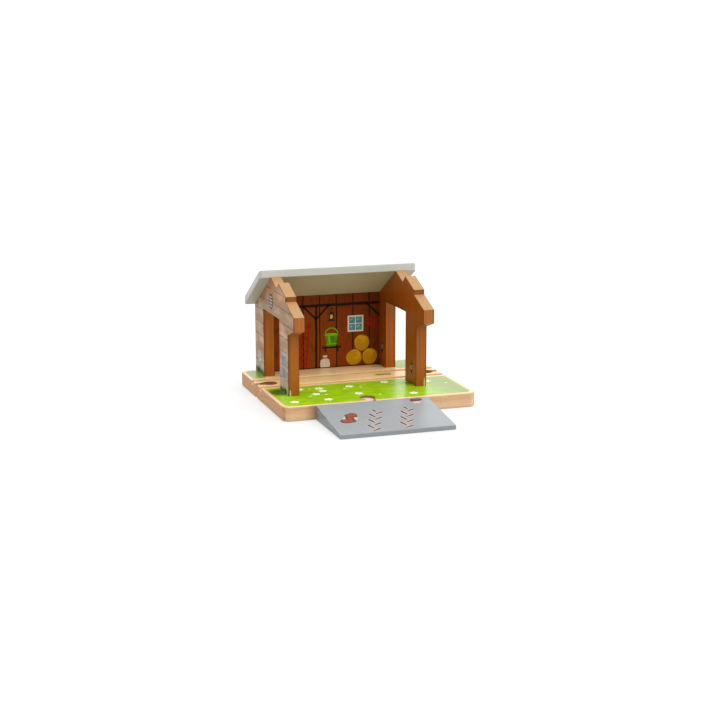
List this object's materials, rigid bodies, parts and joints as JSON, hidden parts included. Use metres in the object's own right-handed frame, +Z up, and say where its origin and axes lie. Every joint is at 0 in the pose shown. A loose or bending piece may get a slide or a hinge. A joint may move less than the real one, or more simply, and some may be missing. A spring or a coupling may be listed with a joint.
{
  "type": "toy railway barn",
  "caption": "Open-fronted wooden toy barn on a grooved track plinth, with doorways over the track, half a roof and a lift-off ramp.",
  "frame": {"origin": "middle of the plinth's underside", "axes": "+X runs along the track, -Y is the barn's open front and the ramp's side, +Z is up"},
  "size_m": [0.165, 0.2038, 0.1087],
  "materials": {
    "plinth_wood": "satin lacquer",
    "gable_paint": "satin paint",
    "back_wall_paint": "satin print",
    "roof_paint": "satin paint",
    "ramp_paint": "satin paint",
    "bare_beech": "bare",
    "screw_steel": "zinc plated",
    "pin_steel": "bright"
  },
  "bodies": {
    "barn": {"plinth": "plinth_wood", "left_gable": "gable_paint", "right_gable": "gable_paint", "back_wall": "back_wall_paint", "roof_panel": "roof_paint", "left_front_leg_dowel": "bare_beech", "left_rear_leg_dowel": "bare_beech", "right_front_leg_dowel": "bare_beech", "right_rear_leg_dowel": "bare_beech", "left_front_leg_screw": "screw_steel", "left_rear_leg_screw": "screw_steel", "right_front_leg_screw": "screw_steel", "right_rear_leg_screw": "screw_steel", "left_wall_screw": "screw_steel", "right_wall_screw": "screw_steel", "left_upper_roof_pin": "pin_steel", "left_lower_roof_pin": "pin_steel", "right_upper_roof_pin": "pin_steel", "right_lower_roof_pin": "pin_steel"},
    "ramp": {"ramp": "ramp_paint", "ramp_peg": "bare_beech", "ramp_peg_pin": "bare_beech"}
  },
  "joints": [
    {"name": "ramp_lift", "type": "slide", "parent": "barn", "child": "ramp", "axis": [0, 0, 1], "range_m": [0, 0.025]}
  ]
}
